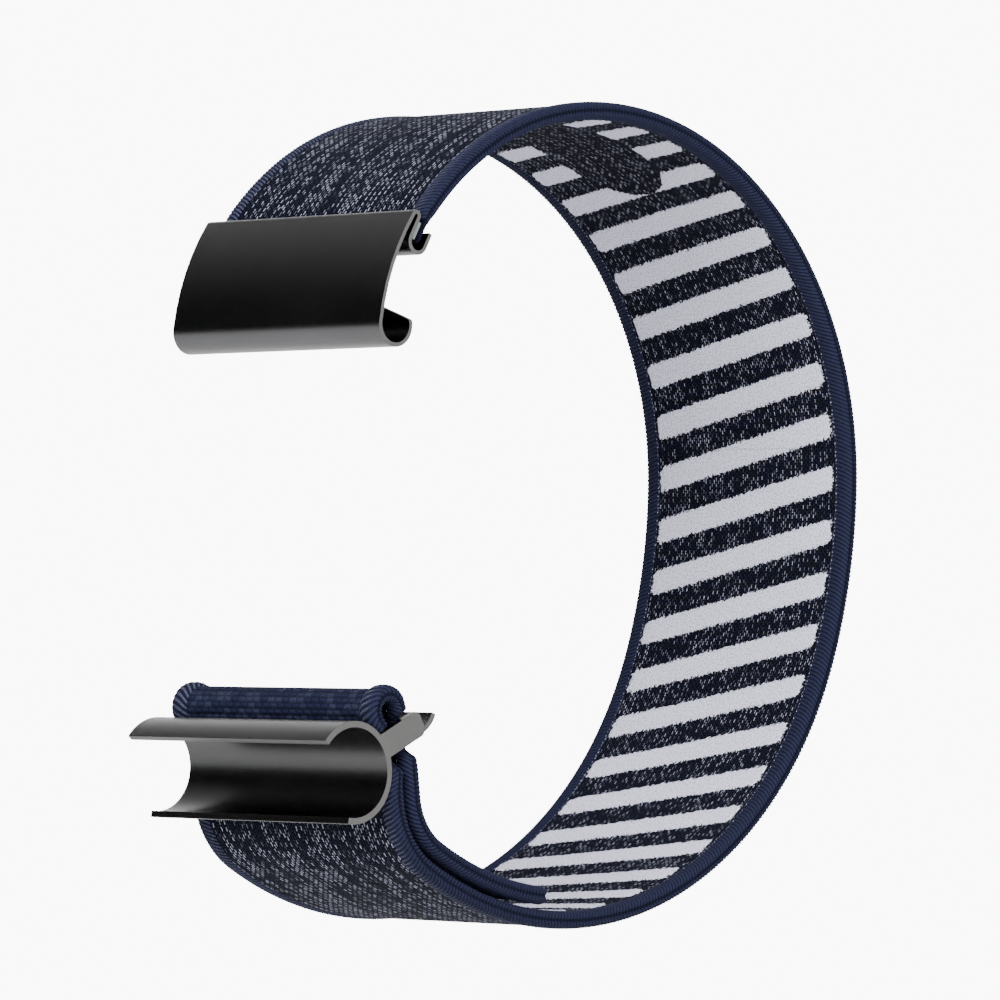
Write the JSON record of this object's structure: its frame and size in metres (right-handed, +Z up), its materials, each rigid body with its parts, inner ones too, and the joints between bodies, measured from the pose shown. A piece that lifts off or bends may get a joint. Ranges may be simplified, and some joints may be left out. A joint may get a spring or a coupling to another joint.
{
  "type": "wristband for a clip-in activity tracker",
  "caption": "Woven fabric wrist strap loop with overlocked edges, a hooked sheet-metal clip at one end and a channel clip with a folded-back hook-tape tail at the other.",
  "frame": {"origin": "middle of the bounding box's base, on the surface the band stands on", "axes": "+Y along the axis of the loop, so across the strap's width; +Z up, from the bottom of the loop to its top; the gap for the tracker and both clips face -X"},
  "size_m": [0.053, 0.0208, 0.0578],
  "materials": {
    "melange_weave": "navy and grey melange double weave",
    "pile_lining": "striped loop pile, light grey on navy",
    "navy_binding": "navy overlocked edge with slanted ribs",
    "black_hook_tape": "black hook tape",
    "black_steel": "satin black coated steel",
    "bare_steel": "bare drawn steel",
    "grey_liner": "matt grey"
  },
  "bodies": {
    "strap_back": {"back_weave": "melange_weave", "back_lining": "pile_lining", "back_binding_near": "navy_binding", "back_binding_far": "navy_binding"},
    "strap_upper": {"upper_weave": "melange_weave", "upper_lining": "pile_lining", "upper_binding_near": "navy_binding", "upper_binding_far": "navy_binding"},
    "upper_clip_body": {"upper_clip": "black_steel", "crimped_strap_end": "navy_binding", "crimp_liner": "grey_liner"},
    "strap_lower": {"lower_weave": "melange_weave", "lower_lining": "pile_lining", "lower_binding_near": "navy_binding", "lower_binding_far": "navy_binding"},
    "strap_fold": {"fold_weave": "melange_weave", "fold_lining": "pile_lining", "fold_binding_near": "navy_binding", "fold_binding_far": "navy_binding"},
    "lower_clip_body": {"lower_clip": "black_steel", "cross_pin": "bare_steel"},
    "tail": {"tail_weave": "melange_weave", "tail_hook_tape": "black_hook_tape", "tail_binding_near": "navy_binding", "tail_binding_far": "navy_binding", "tail_end_seal": "navy_binding"}
  },
  "joints": [
    {"name": "flex_top", "type": "hinge", "parent": "strap_back", "child": "strap_upper", "pos_m": [0.01446, 0, 0.05309], "axis": [0, 1, 0], "range_deg": [-8, 45]},
    {"name": "clip_flex", "type": "hinge", "parent": "strap_upper", "child": "upper_clip_body", "pos_m": [-0.01728, 0, 0.04893], "axis": [0, 1, 0], "range_deg": [-15, 20]},
    {"name": "flex_bottom", "type": "hinge", "parent": "strap_back", "child": "strap_lower", "pos_m": [0.02004, 0, 0.01221], "axis": [0, -1, 0], "range_deg": [-8, 45]},
    {"name": "fold_flex", "type": "hinge", "parent": "strap_lower", "child": "strap_fold", "pos_m": [-0.01917, 0, 0.01039], "axis": [0, 1, 0], "range_deg": [-10, 6]},
    {"name": "clip_swivel", "type": "hinge", "parent": "strap_fold", "child": "lower_clip_body", "pos_m": [-0.0196, 0, 0.01364], "axis": [0, 1, 0], "range_deg": [-2, 4]},
    {"name": "tail_peel", "type": "hinge", "parent": "strap_lower", "child": "tail", "pos_m": [-0.01856, 0, 0.012], "axis": [0, -1, 0], "range_deg": [0, 55]}
  ]
}
